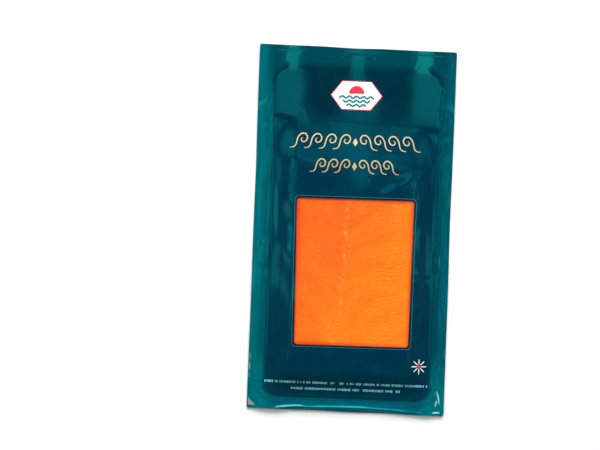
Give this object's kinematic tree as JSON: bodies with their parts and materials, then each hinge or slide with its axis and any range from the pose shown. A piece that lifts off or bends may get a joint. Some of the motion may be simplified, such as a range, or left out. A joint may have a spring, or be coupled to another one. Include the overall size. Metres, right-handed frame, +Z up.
{
  "type": "pack of smoked salmon",
  "caption": "Flat sealed pouch of sliced smoked salmon with a printed dark teal front film, a clear window over the fish and a flat seal all round.",
  "frame": {"origin": "middle of the pack's footprint, on the surface that it lies on", "axes": "+Y along the pack towards its hanging end, +X to the right of the printed front, +Z up out of the printed front"},
  "size_m": [0.1523, 0.2808, 0.0089],
  "materials": {
    "printed_film": "glossy dark teal printed film, lighter over the seal",
    "smoked_salmon": "moist translucent orange flesh with fine pale muscle lines",
    "clear_film": "clear glossy film"
  },
  "bodies": {
    "root": {"pouch": "printed_film", "salmon": "smoked_salmon", "window": "clear_film"}
  },
  "joints": []
}
